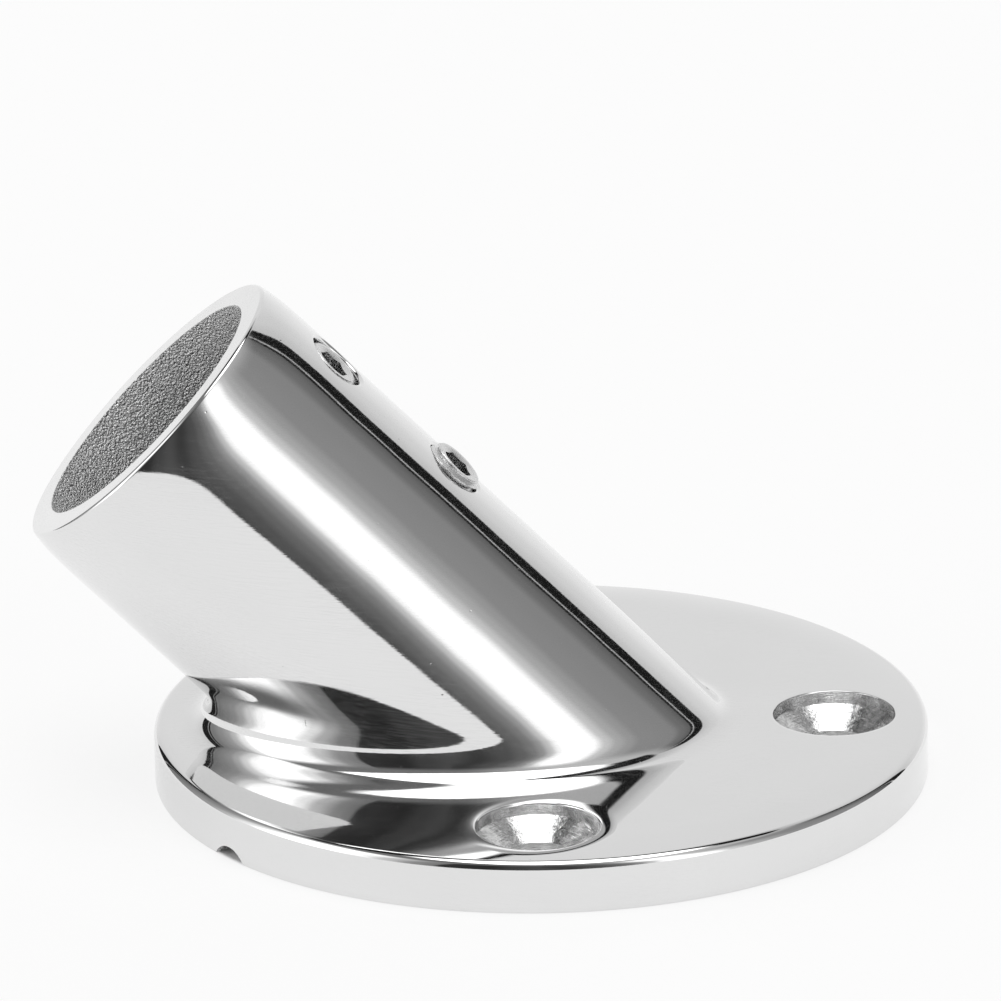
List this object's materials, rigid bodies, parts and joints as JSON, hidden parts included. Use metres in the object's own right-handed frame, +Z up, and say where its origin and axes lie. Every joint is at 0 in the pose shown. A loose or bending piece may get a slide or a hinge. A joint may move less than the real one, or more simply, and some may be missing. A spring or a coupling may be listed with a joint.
{
  "type": "stanchion base",
  "caption": "Round deck base with an angled tube socket, countersunk mounting holes and set screws that clamp a handrail or stanchion tube.",
  "frame": {"origin": "centre of the round base plate's underside, on the deck plane; the socket's axis passes through it", "axes": "+Z up, away from the deck; the socket leans 45 degrees towards -X; +X points to the single mounting hole behind the socket; +Y is across"},
  "size_m": [0.0864, 0.075, 0.0489],
  "materials": {
    "polished_casting": "mirror-polished stainless steel outside, as-cast grey inside the bore",
    "screw_steel": "bright machined stainless steel"
  },
  "bodies": {
    "base": {"base_casting": "polished_casting"},
    "upper_screw": {"upper_set_screw": "screw_steel"},
    "lower_screw": {"lower_set_screw": "screw_steel"}
  },
  "joints": [
    {"name": "upper_screw_travel", "type": "slide", "parent": "base", "child": "upper_screw", "axis": [0.7071, 0, 0.7071], "range_m": [-0.002, 0.002]},
    {"name": "lower_screw_travel", "type": "slide", "parent": "base", "child": "lower_screw", "axis": [0.7071, 0, 0.7071], "range_m": [-0.003, 0.001]}
  ]
}
